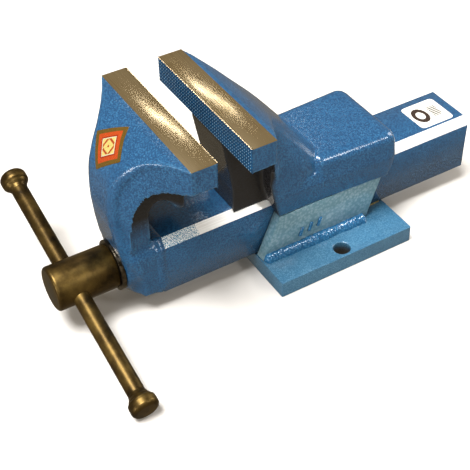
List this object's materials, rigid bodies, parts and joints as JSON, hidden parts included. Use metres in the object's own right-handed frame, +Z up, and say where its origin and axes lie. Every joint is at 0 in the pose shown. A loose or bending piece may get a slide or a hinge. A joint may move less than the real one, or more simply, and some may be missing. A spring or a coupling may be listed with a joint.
{
  "type": "bench vise",
  "caption": "Forged steel bench vise: moving jaw on a chamfered slide beam through a fixed jaw body on a bolt-down base plate, closed by a screw with a sliding T-bar handle.",
  "frame": {"origin": "middle of the two bench bolt holes, on the underside of the base plate", "axes": "+X along the slide beam to the rear (the handle is at -X), +Y across the jaws to the far side, +Z up off the bench"},
  "size_m": [0.414, 0.2537, 0.1757],
  "materials": {
    "blue_paint": "blue hammertone paint on forged steel",
    "black_steel": "dark oiled steel",
    "bright_steel": "ground steel",
    "nut_bronze": "machined bronze",
    "strip_brass": "rolled brass",
    "foil_label": "printed foil",
    "paper_label": "printed paper"
  },
  "bodies": {
    "base": {"base_plate": "blue_paint", "base_welds": "blue_paint", "side_plate_near": "blue_paint", "side_plate_far": "blue_paint", "fixed_body": "blue_paint", "screw_nut": "nut_bronze", "nut_screws": "black_steel", "wear_strips": "strip_brass"},
    "slide": {"moving_jaw": "blue_paint", "slide_beam": "blue_paint", "beam_weld": "blue_paint", "screw_bush": "nut_bronze", "thrust_washer": "black_steel", "front_label": "foil_label", "rear_label": "paper_label"},
    "screw": {"screw": "black_steel", "retaining_collar": "black_steel", "collar_pin": "bright_steel"},
    "handle": {"handle_bar": "black_steel", "handle_knob_lower": "black_steel", "handle_knob_upper": "black_steel"}
  },
  "joints": [
    {"name": "jaw_slide", "type": "slide", "parent": "base", "child": "slide", "axis": [-1, 0, 0], "range_m": [-0.028, 0.1215]},
    {"name": "screw_turn", "type": "hinge", "parent": "slide", "child": "screw", "pos_m": [-0.2, 0, 0.043], "axis": [-1, 0, 0], "range_deg": [-1700, 7320]},
    {"name": "handle_slide", "type": "slide", "parent": "screw", "child": "handle", "axis": [0, 0.9703, 0.2419], "range_m": [-0.0855, 0.0955]}
  ],
  "couplings": [
    {"joint": "screw_turn", "follows": "jaw_slide", "rad_per_m": 1047.2}
  ]
}
